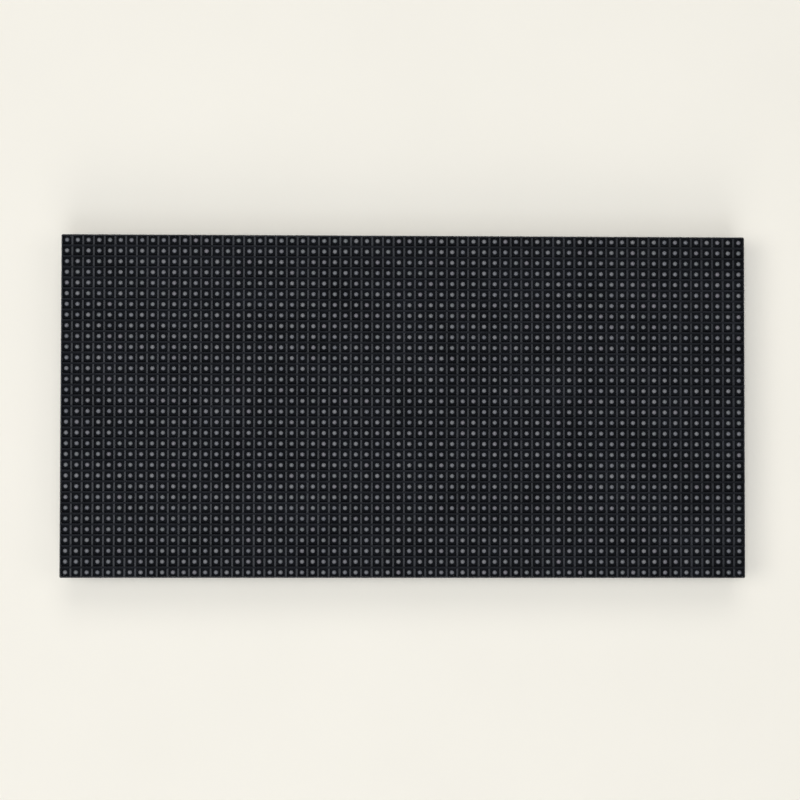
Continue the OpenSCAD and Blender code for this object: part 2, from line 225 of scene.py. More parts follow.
# frosted epoxy over the lamp's cup: a milky grey dome, each one cast a shade cooler or warmer than the next
def frostedEpoxy(name, look):
    material, tree, surface, place = newMaterial(name)
    lampTone = addNode(tree, "ShaderNodeAttribute", attribute_name="lampTone")
    tints = addNode(tree, "ShaderNodeValToRGB", {"Fac": lampTone.outputs["Fac"]})
    stops = tints.color_ramp.elements
    last = len(look["tints"]) - 1
    for i in range(1, last):
        stops.new(i / last)
    for stop, code in zip(stops, look["tints"]):
        stop.color = hexColour(code)
    frost = addNode(tree, "ShaderNodeTexNoise", {
        "Vector": place, "Scale": 1 / (look["frost"] * mm), "Detail": 2.0})
    shade = addNode(tree, "ShaderNodeMapRange", {"Value": frost, **noiseTo(look["shade"])})
    tone = addNode(tree, "ShaderNodeVectorMath", {0: tints, "Scale": shade}, operation="SCALE")
    bump = addNode(tree, "ShaderNodeBump", {"Height": frost, "Distance": look["depth"] * mm})
    setInputs(tree, surface, {
        "Base Color": tone, "Normal": bump, "Roughness": look["rough"], "IOR": look["ior"]})
    return material


lensEpoxy = frostedEpoxy("lensEpoxy", {
    "tints": ("#464951", "#55575e", "#4f5357", "#5d5e63", "#505259", "#58565e"), "frost": 0.3,
    "shade": (0.88, 1.08), "depth": 0.01, "rough": 0.49, "ior": 1.53})


# colour of a part that has a face below a level and plain sides above it
def facedColour(tree, place, look, level, mottle):
    height = addNode(tree, "ShaderNodeSeparateXYZ", {"Vector": place}).outputs["Z"]
    isFace = addNode(tree, "ShaderNodeMath", {0: height, 1: level}, operation="LESS_THAN")
    face = addNode(tree, "ShaderNodeMix", {
        0: mottle, 6: hexColour(look["dark"]), 7: hexColour(look["light"])}, data_type="RGBA")
    return addNode(tree, "ShaderNodeMix", {
        0: isFace, 6: hexColour(look["side"]), 7: face.outputs[2]}, data_type="RGBA").outputs[2]


# glass-epoxy laminate: green mask over the weave behind, raw yellowish edge around it
def solderMask(name, look):
    material, tree, surface, place = newMaterial(name)
    threads = [addNode(tree, "ShaderNodeTexWave", {
        "Vector": place, "Scale": wavePeriod / (look["weave"] * mm), "Distortion": look["waver"]},
        bands_direction=axis).outputs["Fac"] for axis in ("X", "Y")]
    cloth = addNode(tree, "ShaderNodeMath", {0: threads[0], 1: threads[1]}, operation="MULTIPLY")
    cloud = addNode(tree, "ShaderNodeTexNoise", {
        "Vector": place, "Scale": 1 / (look["cloud"] * mm), "Detail": 3.0})
    mottle = addNode(tree, "ShaderNodeMath", {0: cloth, 1: cloud}, operation="MULTIPLY")
    colour = facedColour(tree, place, look, boardRear + look["skin"] * mm, mottle)
    rough = addNode(tree, "ShaderNodeMapRange", {"Value": cloud, **noiseTo(look["rough"])})
    bump = addNode(tree, "ShaderNodeBump", {"Height": cloth, "Distance": look["depth"] * mm})
    setInputs(tree, surface, {
        "Base Color": colour, "Roughness": rough, "Normal": bump, "Specular IOR Level": look["gloss"]})
    return material


# the weave of the glass cloth is drawn at 0.8 mm, a little coarse so that it shows
boardMask = solderMask("boardMask", {
    "side": "#8a8a52", "dark": "#0d4a26", "light": "#1a6a38", "skin": 0.1, "weave": 0.8, "waver": 0.6,
    "cloud": 9, "rough": (0.26, 0.4), "depth": 0.006, "gloss": 0.35})


# thick film on alumina: black glaze on the outer face, white ceramic at the sides
def thickFilm(name, look):
    material, tree, surface, place = newMaterial(name)
    speck = addNode(tree, "ShaderNodeTexNoise", {
        "Vector": place, "Scale": 1 / (look["speck"] * mm), "Detail": 2.0})
    colour = facedColour(tree, place, look, boardRear - look["faceAt"] * mm, speck)
    bump = addNode(tree, "ShaderNodeBump", {"Height": speck, "Distance": look["depth"] * mm})
    setInputs(tree, surface, {"Base Color": colour, "Normal": bump, "Roughness": look["rough"]})
    return material


resistorFilm = thickFilm("resistorFilm", {
    "dark": "#131315", "light": "#232326", "side": "#d8d6cf", "speck": 0.2, "faceAt": 0.36, "depth": 0.006,
    "rough": 0.35})
print("materials:", len(bpy.data.materials))


# a shape is a list of skins in millimetres, each run through rings of points
# a skin that isn't closed on itself gets a cap at both ends
def skin(rings, accent=False, smooth=False, closed=False):
    return {"rings": rings, "accent": accent, "smooth": smooth, "closed": closed}


def shapeMesh(name, shape):
    points, faces, owners = [], [], []
    for part in shape:
        rings, first = part["rings"], len(points)
        runs, count = len(rings), len(rings[0])
        for ring in rings:
            points.extend(ring)
        if not part["closed"]:
            faces.append(tuple(first + i for i in range(count)))
            faces.append(tuple(first + (runs - 1) * count + i for i in reversed(range(count))))
        for r in range(runs if part["closed"] else runs - 1):
            a, b = first + r * count, first + (r + 1) % runs * count
            for i in range(count):
                after = (i + 1) % count
                faces.append((a + i, a + after, b + after, b + i))
        owners.extend([part] * (len(faces) - len(owners)))
    mesh = bpy.data.meshes.new(name)
    mesh.from_pydata([Vector(point) * mm for point in points], [], faces)
    accent = mesh.attributes.new("accent", "BOOLEAN", "FACE")
    for polygon, part in zip(mesh.polygons, owners):
        accent.data[polygon.index].value = part["accent"]
        polygon.use_smooth = part["smooth"]
    work = bmesh.new()
    work.from_mesh(mesh)
    bmesh.ops.recalc_face_normals(work, faces=work.faces)
    work.to_mesh(mesh)
    work.free()
    return mesh


def circle(radius, z, count):
    turns = [math.tau * (i + 0.5) / count for i in range(count)]
    return [(radius * math.cos(t), radius * math.sin(t), z) for t in turns]


# square ring with as many points as a circle has
def squareRing(half, z, count):
    ring = []
    for x, y, _ in circle(1, z, count):
        reach = half / max(abs(x), abs(y))
        ring.append((x * reach, y * reach, z))
    return ring


def boxRings(low, high):
    plan = [(low[0], low[1]), (high[0], low[1]), (high[0], high[1]), (low[0], high[1])]
    return [[(x, y, z) for x, y in plan] for z in (low[2], high[2])]


# points around a rounded rectangle: the middle of each corner's arc, and the way out from it
def roundCorners(halfX, halfY, radius, steps):
    points = []
    for k, (sx, sy) in enumerate(((1, 1), (-1, 1), (-1, -1), (1, -1))):
        for step in range(steps + 1):
            turn = math.radians(90 * k + 90 / steps * step)
            points.append((sx * (halfX - radius), sy * (halfY - radius), math.cos(turn), math.sin(turn)))
    return points


def showPiece(name, mesh, replaced=()):
    piece = bpy.data.objects.new(name, mesh)
    scene.collection.objects.link(piece)
    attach(piece, "root")
    if replaced:
        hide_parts(*replaced)


# a node tree with named inputs, listed by their kind
def startTree(name, sockets):
    tree = bpy.data.node_groups.new(name, "GeometryNodeTree")
    tree.interface.new_socket("Geometry", in_out="INPUT", socket_type="NodeSocketGeometry")
    for kind, labels in sockets.items():
        for label in labels:
            tree.interface.new_socket(label, in_out="INPUT", socket_type="NodeSocket" + kind)
    tree.interface.new_socket("Geometry", in_out="OUTPUT", socket_type="NodeSocketGeometry")
    return tree, addNode(tree, "NodeGroupInput").outputs


# every tree ends with real faces and their materials
def endTree(tree, geometry, material, accent=None):
    solid = addNode(tree, "GeometryNodeRealizeInstances", {"Geometry": geometry})
    last = addNode(tree, "GeometryNodeSetMaterial", {"Geometry": solid, "Material": material})
    if accent:
        chosen = addNode(tree, "GeometryNodeInputNamedAttribute", {"Name": "accent"}, data_type="BOOLEAN")
        last = addNode(tree, "GeometryNodeSetMaterial", {
            "Geometry": last, "Material": accent, "Selection": chosen})
    addNode(tree, "NodeGroupOutput", {"Geometry": last})


# runs a tree on a base mesh and gives back the plain mesh
def growMesh(name, base, tree, values):
    host = bpy.data.objects.new(name + "Host", base)
    scene.collection.objects.link(host)
    grow = host.modifiers.new("grow", "NODES")
    grow.node_group = tree
    for item in tree.interface.items_tree:
        if item.item_type == "SOCKET" and item.in_out == "INPUT" and item.name in values:
            grow[item.identifier] = values[item.name]
    graph = bpy.context.evaluated_depsgraph_get()
    mesh = bpy.data.meshes.new_from_object(host.evaluated_get(graph), preserve_all_data_layers=True,
                                           depsgraph=graph)
    mesh.name = name
    host.modifiers.remove(grow)
    bpy.data.objects.remove(host)
    return mesh


# a shape as an object that a tree can copy; it is thrown away at the end
stamps = []


def stamp(name, shape):
    thing = bpy.data.objects.new(name, shapeMesh(name, shape))
    scene.collection.objects.link(thing)
    stamps.append(thing)
    return thing


# points with a turn about Z and a stretch for each
def pointCloud(name, spots):
    mesh = bpy.data.meshes.new(name)
    mesh.from_pydata([spot["at"] for spot in spots], [], [])
    turn = mesh.attributes.new("turn", "FLOAT", "POINT")
    stretch = mesh.attributes.new("stretch", "FLOAT_VECTOR", "POINT")
    for i, spot in enumerate(spots):
        turn.data[i].value = spot.get("turn", 0.0)
        stretch.data[i].vector = spot.get("stretch", (1, 1, 1))
    return mesh


# copies one shape to points that carry their own turn and stretch, and shows the copies as one piece
def scatterPiece(name, shape, spots, material, accent=None, replaced=()):
    tree, ins = startTree(name + "Scatter", {"Object": ["Shape"]})
    source = addNode(tree, "GeometryNodeObjectInfo", {"Object": ins["Shape"]})
    turn = addNode(tree, "GeometryNodeInputNamedAttribute", {"Name": "turn"}, data_type="FLOAT")
    stretch = addNode(tree, "GeometryNodeInputNamedAttribute", {"Name": "stretch"}, data_type="FLOAT_VECTOR")
    about = addNode(tree, "ShaderNodeCombineXYZ", {"Z": turn})
    spin = addNode(tree, "FunctionNodeEulerToRotation", {"Euler": about})
    copies = addNode(tree, "GeometryNodeInstanceOnPoints", {
        "Points": ins["Geometry"], "Instance": source.outputs["Geometry"],
        "Rotation": spin, "Scale": stretch})
    endTree(tree, copies, material, accent)
    mesh = growMesh(name, pointCloud(name + "Spots", spots), tree, {"Shape": stamp(name + "Stamp", shape)})
    showPiece(name, mesh, replaced)


# flat bands on the rear of the board, along paths of points in millimetres
def bandPiece(name, paths, width, layer, material):
    points, edges = [], []
    level = boardRear + (layer["thick"] / 2 - layer["proud"]) * mm
    for path in paths:
        first = len(points)
        points.extend((x * mm, y * mm, level) for x, y in path)
        edges.extend((first + i, first + i + 1) for i in range(len(path) - 1))
    base = bpy.data.meshes.new(name + "Paths")
    base.from_pydata(points, edges, [])
    tree, ins = startTree(name + "Band", {"Float": ["Width", "Thickness"]})
    route = addNode(tree, "GeometryNodeMeshToCurve", {"Mesh": ins["Geometry"]})
    upright = addNode(tree, "GeometryNodeSetCurveNormal", {"Curve": route}, mode="Z_UP")
    section = addNode(tree, "GeometryNodeCurvePrimitiveQuadrilateral", {
        "Width": ins["Width"], "Height": ins["Thickness"]})
    band = addNode(tree, "GeometryNodeCurveToMesh", {
        "Curve": upright, "Profile Curve": section, "Fill Caps": True})
    flat = addNode(tree, "GeometryNodeSetShadeSmooth", {"Geometry": band, "Shade Smooth": False})
    endTree(tree, flat, material)
    mesh = growMesh(name, base, tree, {"Width": width * mm, "Thickness": layer["thick"] * mm})
    showPiece(name, mesh)


# camera: straight above, leaning a little to the lower left, as the photograph was taken
shot = {"distance": 650, "aim": (-1.17, 1.8), "leanX": -1.86, "leanY": -1.91, "roll": 0.09, "lens": 104.3,
        "sensor": 36, "clip": (0.01, 60)}


def makeCamera():
    back = Vector((math.sin(math.radians(shot["leanX"])), math.sin(math.radians(shot["leanY"])), 0))
    back.z = math.sqrt(1 - back.length_squared)
    up = (Vector((0, 1, 0)) - back * back.y).normalized()
    roll = Matrix.Rotation(math.radians(shot["roll"]), 3, "Z")
    axes = Matrix((up.cross(back), up, back)).transposed() @ roll
    data = bpy.data.cameras.new("shotCamera")
    data.lens, data.sensor_width = shot["lens"], shot["sensor"]
    data.clip_start, data.clip_end = shot["clip"]
    camera = bpy.data.objects.new("shotCamera", data)
    scene.collection.objects.link(camera)
    aim = Vector((shot["aim"][0] * mm, shot["aim"][1] * mm, maskHigh.z))
    camera.matrix_world = Matrix.Translation(aim + back * shot["distance"] * mm) @ axes.to_4x4()
    scene.camera = camera


makeCamera()
print("camera set")

# one moulding for the front: skirt, upright bars, louvres across them and pegs behind
# a louvre slopes gently to its eave below and falls steeply behind its ridge
mask = {"columns": 64, "rows": 32, "barWidth": 0.66, "barHeight": 1.6, "barSoft": 0.1, "cornerPull": 0.3,
        "ridge": (0.05, 0.07), "ridgeSoft": (0.03, 0.02), "louvreSoft": 0.03, "louvreSink": 0.02,
        "eave": 0.42, "eaveDrop": 0.56, "eaveSoft": (0.02, 0.01),
        "back": 0.18, "backDrop": 0.27, "backSoft": (0.01, 0.02),
        "skirt": 0.33, "skirtSoft": 0.14, "cornerRadius": 0.4, "cornerSteps": 4,
        "pegStep": 8, "pegRadius": 0.55, "pegOut": 0.6, "pegIn": 0.6, "pegTip": 0.15, "pegSides": 10}
pitch = (maskHigh.x - maskLow.x) / mask["columns"] / mm
panelWidth, panelHeight = mask["columns"] * pitch, mask["rows"] * pitch
barZ = frontZ + mask["barHeight"]


def barShape():
    half, soft, pull = mask["barWidth"] / 2, mask["barSoft"], mask["barSoft"] * mask["cornerPull"]
    reach = (panelHeight - mask["skirt"]) / 2
    outline = [(-half, frontZ), (-half, barZ - soft), (-half + pull, barZ - pull), (-half + soft, barZ)]
    outline += [(-x, z) for x, z in reversed(outline)]
    return [skin([[(x, y, z) for x, z in outline] for y in (-reach, reach)])]


def louvreShape():
    eave, back, soft = mask["eave"], mask["back"], mask["louvreSoft"]
    reach = (panelWidth - mask["skirt"]) / 2
    footZ, eaveZ, backZ = barZ - mask["louvreSink"], louvreZ - mask["eaveDrop"], louvreZ - mask["backDrop"]
    low, high = mask["ridge"]
    lowOut, highOut = mask["ridgeSoft"]
    eaveIn, eaveUp = mask["eaveSoft"]
    backIn, backUp = mask["backSoft"]
    outline = [(-eave, footZ), (-eave, eaveZ - soft), (-eave + eaveIn, eaveZ + eaveUp),
               (low - lowOut, louvreZ - soft), (low, louvreZ), (high, louvreZ),
               (high + highOut, louvreZ - soft), (back - backIn, backZ + backUp), (back, backZ - soft),
               (back, footZ)]
    return [skin([[(x, y, z) for y, z in outline] for x in (-reach, reach)])]


def pegShape():
    radius, tip = mask["pegRadius"], mask["pegTip"]
    low, high = rearZ - mask["pegOut"], frontZ + mask["pegIn"]
    outline = ((radius - tip, low), (radius, low + tip), (radius, high))
    return [skin([circle(r, z, mask["pegSides"]) for r, z in outline])]


# closed ring around the panel, its outer front edge rolled over
def skirtShape():
    radius, soft, wall = mask["cornerRadius"], mask["skirtSoft"], mask["skirt"]
    pull = soft * mask["cornerPull"]
    profile = [(0, rearZ), (0, louvreZ - soft), (pull, louvreZ - pull), (soft, louvreZ), (wall, louvreZ),
               (wall, rearZ)]
    corners = roundCorners(panelWidth / 2, panelHeight / 2, radius, mask["cornerSteps"])
    return [skin([[(x + (radius - inset) * outX, y + (radius - inset) * outY, z) for inset, z in profile]
                  for x, y, outX, outY in corners], closed=True)]


def maskTree():
    tree, ins = startTree("maskLattice", {
        "Object": ["Bar", "Louvre", "Peg"], "Int": ["Bar Count", "Louvre Count", "Peg Columns", "Peg Rows"],
        "Vector": ["Bar Start", "Bar Step", "Louvre Start", "Louvre Step"],
        "Float": ["Peg Width", "Peg Height"]})
    joined = addNode(tree, "GeometryNodeJoinGeometry", {0: ins["Geometry"]})
    places = {label: addNode(tree, "GeometryNodeMeshLine", {
        "Count": ins[label + " Count"], "Start Location": ins[label + " Start"],
        "Offset": ins[label + " Step"]}, mode="OFFSET") for label in ("Bar", "Louvre")}
    places["Peg"] = addNode(tree, "GeometryNodeMeshGrid", {
        "Size X": ins["Peg Width"], "Size Y": ins["Peg Height"],
        "Vertices X": ins["Peg Columns"], "Vertices Y": ins["Peg Rows"]})
    for label, points in places.items():
        source = addNode(tree, "GeometryNodeObjectInfo", {"Object": ins[label]})
        copies = addNode(tree, "GeometryNodeInstanceOnPoints", {
            "Points": points, "Instance": source.outputs["Geometry"]})
        setInputs(tree, joined, {0: copies})
    endTree(tree, joined, maskPolycarbonate)
    return tree


pegColumns, pegRows = mask["columns"] // mask["pegStep"], mask["rows"] // mask["pegStep"]
maskMesh = growMesh("maskMoulding", shapeMesh("maskSkirt", skirtShape()), maskTree(), {
    "Bar": stamp("barStamp", barShape()), "Bar Count": mask["columns"] - 1,
    "Bar Start": ((pitch - panelWidth / 2) * mm, 0.0, 0.0), "Bar Step": (pitch * mm, 0.0, 0.0),
    "Louvre": stamp("louvreStamp", louvreShape()), "Louvre Count": mask["rows"] - 1,
    "Louvre Start": (0.0, (pitch - panelHeight / 2) * mm, 0.0), "Louvre Step": (0.0, pitch * mm, 0.0),
    "Peg": stamp("pegStamp", pegShape()), "Peg Columns": pegColumns, "Peg Rows": pegRows,
    "Peg Width": (pegColumns - 1) * mask["pegStep"] * pitch * mm,
    "Peg Height": (pegRows - 1) * mask["pegStep"] * pitch * mm})
showPiece("maskMoulding", maskMesh, ["front_mask"])
print("mask:", len(maskMesh.polygons), "faces")

# film of black lacquer between the lamps
film = {"inset": 0.02, "cornerRadius": 0.2, "cornerSteps": 3, "thick": 0.02}


def filmShape():
    radius, margin = film["cornerRadius"], mask["skirt"] + film["inset"]
    corners = roundCorners(panelWidth / 2 - margin, panelHeight / 2 - margin, radius, film["cornerSteps"])
    outline = [(x + radius * outX, y + radius * outY) for x, y, outX, outY in corners]
    return [skin([[(x, y, frontZ + z) for x, y in outline] for z in (0, film["thick"])])]


filmMesh = shapeMesh("boardFilm", filmShape())
filmMesh.materials.append(frontLacquer)
showPiece("boardFilm", filmMesh)
print("film laid")

# lamps: square housing, flat face and a domed lens; heights count from the board
lamp = {"half": 1.05, "face": 1.3, "lensRadius": 0.66, "lensSink": 0.05, "lensWall": 1.54, "lensTaper": 0.94,
        "domeRadius": 0.4, "sides": 12, "seed": 11}


def lampShape():
    sides, radius, faceZ = lamp["sides"], lamp["lensRadius"], frontZ + lamp["face"]
    outline = ((radius, faceZ - lamp["lensSink"]), (radius * lamp["lensTaper"], frontZ + lamp["lensWall"]),
               (lamp["domeRadius"], lensZ))
    return [skin([squareRing(lamp["half"], z, sides) for z in (frontZ, faceZ)]),
            skin([circle(r, z, sides) for r, z in outline], accent=True, smooth=True)]


def lampTree():
    tree, ins = startTree("lampGrid", {
        "Object": ["Lamp"], "Int": ["Columns", "Rows", "Seed"], "Float": ["Width", "Height"],
        "Vector": ["Centre"]})
    grid = addNode(tree, "GeometryNodeMeshGrid", {
        "Size X": ins["Width"], "Size Y": ins["Height"],
        "Vertices X": ins["Columns"], "Vertices Y": ins["Rows"]})
    placed = addNode(tree, "GeometryNodeTransform", {"Geometry": grid, "Translation": ins["Centre"]})
    source = addNode(tree, "GeometryNodeObjectInfo", {"Object": ins["Lamp"]})
    copies = addNode(tree, "GeometryNodeInstanceOnPoints", {
        "Points": placed, "Instance": source.outputs["Geometry"]})
    dice = addNode(tree, "FunctionNodeRandomValue", {"Seed": ins["Seed"]}, data_type="FLOAT")
    toned = addNode(tree, "GeometryNodeStoreNamedAttribute", {
        "Geometry": copies, "Name": "lampTone", "Value": dice.outputs[1]},
        data_type="FLOAT", domain="INSTANCE")
    endTree(tree, toned, lampPolyamide, lensEpoxy)
    return tree


lampStamp = stamp("lampStamp", lampShape())
lampGrid = lampTree()
halfRows = mask["rows"] // 2
for pieceName, node, side in (("lampsUpper", "leds_upper_half", 1), ("lampsLower", "leds_lower_half", -1)):
    lampMesh = growMesh(pieceName, bpy.data.meshes.new(pieceName + "Base"), lampGrid, {
        "Lamp": lampStamp, "Columns": mask["columns"], "Rows": halfRows,
        "Width": (mask["columns"] - 1) * pitch * mm, "Height": (halfRows - 1) * pitch * mm,
        "Centre": (0.0, side * halfRows / 2 * pitch * mm, 0.0), "Seed": lamp["seed"] + side})
    showPiece(pieceName, lampMesh, [node])
    print(pieceName + ":", len(lampMesh.polygons), "faces")

# leads of the chips: gull wings on soldered pads, counted from the bodies that the CAD gives
leads = {"driver_ic": {"count": 24, "perSide": 12, "step": 0.635, "width": 0.26, "longAxis": 0},
         "line_buffer": {"count": 2, "perSide": 10, "step": 0.65, "width": 0.26, "longAxis": 1},
         "row_decoder": {"count": 2, "perSide": 8, "step": 1.27, "width": 0.42, "longAxis": 1},
         "row_switch": {"count": 8, "perSide": 4, "step": 1.27, "width": 0.42, "longAxis": 0}}
lead = {"exit": 0.8, "root": 0.06, "shoulder": 0.28, "heel": 0.5, "bend": 0.06, "toe": 1.05, "thick": 0.16,
        "width": 0.3, "solder": 0.03, "padIn": 0.42, "padOut": 1.35, "padWiden": 1.25, "padThick": 0.04}
# tracks from the pads: fanned out, or stubs with a length and what every second one has more
fan = {"from": 1.2, "straight": 1.8, "bend": 2.0, "spread": 0.55, "end": 3.6, "stagger": 0.75, "ranks": 3,
       "driverStub": (1.85, 0.5), "stub": (2.0, 0.6)}


# a lead points along +X from the side of its body; z is down from the board
def leadShape():
    half, thick, solder = lead["width"] / 2, lead["thick"], lead["solder"]
    exitLow, exitHigh = -lead["exit"] - thick / 2, -lead["exit"] + thick / 2
    outline = [(-lead["root"], exitLow), (lead["shoulder"], exitLow),
               (lead["heel"] + lead["bend"], -thick - solder), (lead["toe"], -thick - solder),
               (lead["toe"], -solder), (lead["heel"], -solder),
               (lead["shoulder"] - lead["bend"], exitHigh), (-lead["root"], exitHigh)]
    wide = half * lead["padWiden"]
    return [skin([[(x, y, z) for x, z in outline] for y in (-half, half)]),
            skin(boxRings((lead["padIn"], -wide, -lead["padThick"]), (lead["padOut"], wide, 0.0)))]


leadSpots, tracks, vias, chipBoxes = [], [], [], {}
for family, kind in leads.items():
    along, across = kind["longAxis"], 1 - kind["longAxis"]
    for k in range(kind["count"]):
        name = f"{family}_{k + 1:02d}"
        low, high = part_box(name)
        chipBoxes[name] = (low, high)
        centre = (low + high) / 2
        stretch = (1, kind["width"] / lead["width"], (high.z - low.z) / 2 / mm / lead["exit"])
        for side in (1, -1):
            for i in range(kind["perSide"]):
                offset = (i - (kind["perSide"] - 1) / 2) * kind["step"]
                at = Vector((0, 0, boardRear))
                at[along] = centre[along] + offset * mm
                at[across] = centre[across] + side * (high[across] - low[across]) / 2
                turn = math.atan2(side * across, side * along)
                leadSpots.append({"at": at, "turn": turn, "stretch": stretch})
                if family == "line_buffer" and side > 0:  # the header's tracks come in here
                    continue
                # a short track from each pad to a via, fanned out on the drivers' outer side
                if family == "driver_ic" and side * centre[across] > 0:
                    shift = offset * fan["spread"]
                    steps = [(fan["from"], 0), (fan["straight"], 0), (fan["bend"] + abs(shift), shift),
                             (fan["end"] + fan["stagger"] * (i % fan["ranks"]), shift)]
                else:
                    stub, longer = fan["driverStub" if family == "driver_ic" else "stub"]
                    steps = [(fan["from"], 0), (stub + longer * (i % 2), 0)]
                path = []
                for reach, shift in steps:
                    point = [at.x / mm, at.y / mm]
                    point[across] += side * reach
                    point[along] += shift
                    path.append(tuple(point))
                tracks.append(path)
                vias.append({"at": (path[-1][0] * mm, path[-1][1] * mm, boardRear)})
scatterPiece("chipLeads", leadShape(), leadSpots, solderTin)
print("leads:", len(leadSpots))

# tracks: a feed from the header to the buffers, buses along the board, broad bands from the power header
copper = {"track": 0.2, "bus": 0.3, "supply": 2.0, "supplyFrom": 8.6, "supplyTo": 66, "thick": 0.05,
          "proud": 0.036}
feed = {"count": 8, "step": 2.54, "from": 1.2, "bend": 2.2,
        "bufferRow": 6, "bufferStep": 1.3, "bufferGap": 1.2, "bufferBend": 0.8}
innerBus = {"count": 5, "y": 13.3, "step": 0.6, "end": 66, "endStep": 1, "bend": 20, "bendStep": 0.25,
            "slant": 1, "jog": -0.9, "returns": True}
outerBus = {"count": 6, "y": 30.2, "step": 0.7, "end": 85, "endStep": 1.5, "bend": 8, "bendStep": 0.3,
            "slant": 1.5, "jog": 1.2, "returns": False}

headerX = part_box("input_header")[0].x / mm
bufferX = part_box("line_buffer_01")[1].x / mm + feed["bufferGap"]
perBuffer = feed["count"] // 2
for i in range(feed["count"]):
    pinY = (i - (feed["count"] - 1) / 2) * feed["step"]
    rowY = feed["bufferRow"] if i >= perBuffer else -feed["bufferRow"]
    bufferY = rowY + (i % perBuffer - (perBuffer - 1) / 2) * feed["bufferStep"]
    tracks.append([(headerX - feed["from"], pinY), (headerX - feed["bend"], pinY),
                   (bufferX + feed["bufferBend"], bufferY), (bufferX, bufferY)])
buses = []
for side in (1, -1):
    for bus in (innerBus, outerBus):
        for i in range(bus["count"]):
            y = side * (bus["y"] + bus["step"] * i)
            jogY = y + side * bus["jog"]
            end, bend = bus["end"] - bus["endStep"] * i, bus["bend"] + bus["bendStep"] * i
            path = [(-end, y), (-bend, y), (-bend + bus["slant"], jogY)]
            path += [(bend - bus["slant"], jogY), (bend, y), (end, y)] if bus["returns"] else [(end, jogY)]
            buses.append(path)
supplies = [[(side * copper["supplyFrom"], 0), (side * copper["supplyTo"], 0)] for side in (1, -1)]
bandPiece("signalTracks", tracks, copper["track"], copper, trackMask)
bandPiece("busTracks", buses, copper["bus"], copper, trackMask)
bandPiece("supplyTracks", supplies, copper["supply"], copper, trackMask)
print("tracks:", len(tracks) + len(buses))

# vias and test points: tinned rings around a small hole
via = {"outer": 0.3, "inner": 0.14, "proud": 0.05, "sink": 0.01, "sides": 10,
       "testPoints": 6, "testStep": 3, "testY": 9.4, "testWiden": 2.2}


def viaShape():
    outer, inner, proud, sink = via["outer"], via["inner"], via["proud"], via["sink"]
    outline = ((outer, sink), (outer, -proud), (inner, -proud), (inner, -sink))
    return [skin([circle(r, z, via["sides"]) for r, z in outline])]


for side in (1, -1):
    for path in buses:
        if path[0][1] * side > 0:
            vias.extend({"at": (x * mm, y * mm, boardRear)} for x, y in (path[0], path[-1]))
    for i in range(via["testPoints"]):
        x = (i - (via["testPoints"] - 1) / 2) * via["testStep"]
        vias.append({"at": (x * mm, side * via["testY"] * mm, boardRear),
                     "stretch": (via["testWiden"], via["testWiden"], 1)})
scatterPiece("viaRings", viaShape(), vias, solderTin)
print("vias:", len(vias))

# printed outlines: short bars at the ends of the chips, frames that stand off the headers and cans
ink = {"width": 0.18, "thick": 0.03, "proud": 0.02, "gap": 0.35}
inkFrames = {"input_header": (1.9, 1.9), "output_header": (1.9, 1.9), "power_header": (1.0, 2.6),
             "bulk_capacitor_01": (0.5, 0.5), "bulk_capacitor_02": (0.5, 0.5)}
outlines = []
for name, (low, high) in chipBoxes.items():
    along = leads[name[:-3]]["longAxis"]
    across = 1 - along
    centre, half = (low + high) / 2, (high - low) / 2
    for side in (1, -1):
        ends = []
        for way in (-1, 1):
            point = [0, 0]
            point[along] = (centre[along] + side * (half[along] + ink["gap"] * mm)) / mm
            point[across] = (centre[across] + way * half[across]) / mm
            ends.append(tuple(point))
        outlines.append(ends)
for name, (growX, growY) in inkFrames.items():
    low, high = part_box(name)
    x0, x1, y0, y1 = low.x / mm - growX, high.x / mm + growX, low.y / mm - growY, high.y / mm + growY
    outlines.append([(x0, y0), (x1, y0), (x1, y1), (x0, y1), (x0, y0)])
bandPiece("printedOutlines", outlines, ink["width"], ink, printInk)
print("outlines:", len(outlines))

# chip capacitors and resistors: body, two tinned ends and a fillet of solder against each
chipParts = {
    "chipCapacitors": {"node": "chip_capacitors", "slot": "chip_ceramic", "material": capCeramic,
                       "size": (1.6, 0.8, 0.8), "side": -1.8},
    "chipResistors": {"node": "chip_resistors", "slot": "chip_film", "material": resistorFilm,
                      "size": (1.6, 0.8, 0.45), "side": 1.8}}
chip = {"end": 0.32, "endSoft": (0.05, 0.93), "inset": 0.025, "padOut": 0.35, "padHeight": 0.2,
        "inward": 5.5, "filletSink": 0.02, "filletClimb": 0.6, "filletMid": (0.4, 0.8), "filletToe": 0.03,
        "filletWidth": 0.95}


def chipShape(size):
    length, width, tall = size
    half, side, inset, padOut = length / 2, width / 2, chip["inset"], chip["padOut"]
    softIn, softShrink = chip["endSoft"]
    midOut, midHeight = chip["filletMid"]
    root, wide = half - chip["end"], side * chip["filletWidth"]
    section = ((-side, 0.0), (side, 0.0), (side, -tall), (-side, -tall))
    caps = ((root, 1.0), (half - softIn, 1.0), (half, softShrink))
    climb = ((half - chip["filletSink"], tall * chip["filletClimb"]),
             (half + padOut * midOut, chip["padHeight"] * midHeight), (half + padOut, chip["filletToe"]))
    shape = [skin(boxRings((-root, -side + inset, -tall + inset), (root, side - inset, 0.0)))]
    for way in (1, -1):
        shape.append(skin([[(way * x, y * g, z * g) for y, z in section] for x, g in caps], accent=True))
        shape.append(skin([[(way * x, y, z) for y, z in ((-wide, 0.0), (wide, 0.0), (wide, -h), (-wide, -h))]
                           for x, h in climb], accent=True))
    return shape


